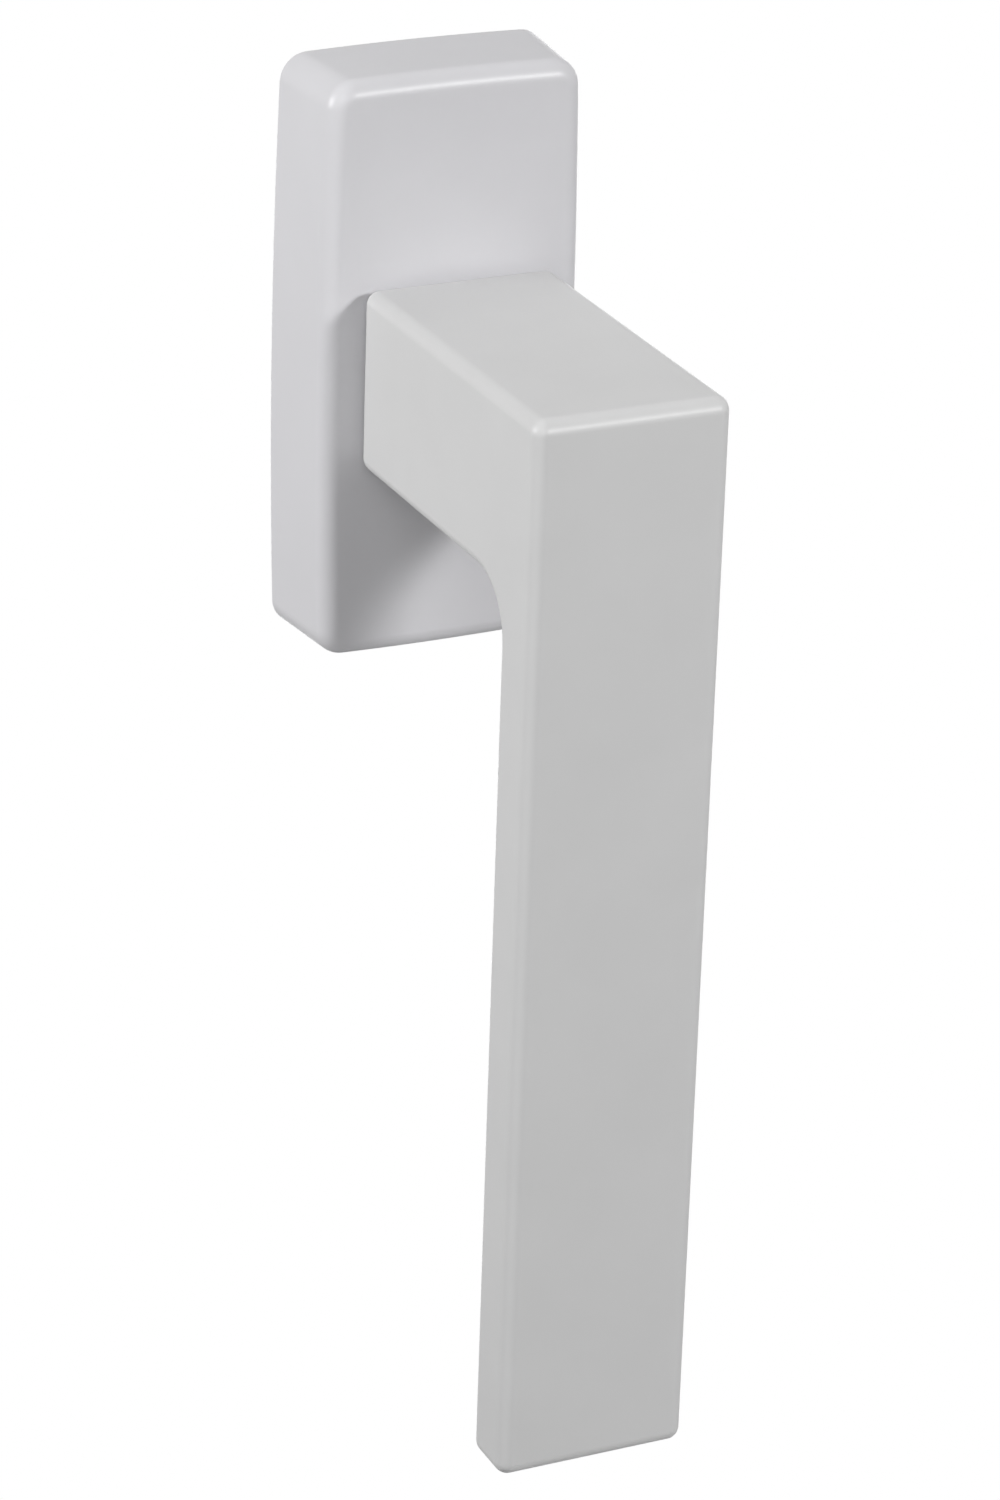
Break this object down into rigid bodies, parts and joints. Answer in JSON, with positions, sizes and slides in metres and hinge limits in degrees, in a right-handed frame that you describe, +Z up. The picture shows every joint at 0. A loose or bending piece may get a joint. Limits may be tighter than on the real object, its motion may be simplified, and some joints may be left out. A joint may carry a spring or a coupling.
{
  "type": "window lever handle on rose",
  "caption": "Tilt-and-turn window handle: a flat white L-shaped lever on a slim rectangular rose, with quarter-turn detent, square spindle and locating lugs.",
  "frame": {"origin": "where the spindle axis meets the base plate's back face, which lies on the window sash", "axes": "+Y along the spindle into the sash, +Z up along the rose, +X to the right seen from the room; the lever hangs along -Z with the window shut"},
  "size_m": [0.0316, 0.081, 0.1433],
  "materials": {
    "white_powder_coat": "satin",
    "zinc_casting": "matte",
    "natural_acetal": "satin",
    "sintered_steel": "matte",
    "spring_steel": "satin",
    "plated_steel": "satin",
    "phosphated_steel": "matte"
  },
  "bodies": {
    "rose": {"rose_cover": "white_powder_coat", "base_plate": "zinc_casting", "bearing_bush": "natural_acetal", "detent_spring_left": "spring_steel", "detent_spring_right": "spring_steel", "fixing_screws": "plated_steel"},
    "lever": {"lever": "white_powder_coat", "spindle": "plated_steel", "spindle_pin": "spring_steel", "detent_cam": "sintered_steel", "thrust_washer": "plated_steel", "retaining_ring": "phosphated_steel"}
  },
  "joints": [
    {"name": "lever_turn", "type": "hinge", "parent": "rose", "child": "lever", "pos_m": [0, 0, 0], "axis": [0, -1, 0], "range_deg": [-180, 180], "deforming": ["detent_spring_left", "detent_spring_right"]}
  ]
}
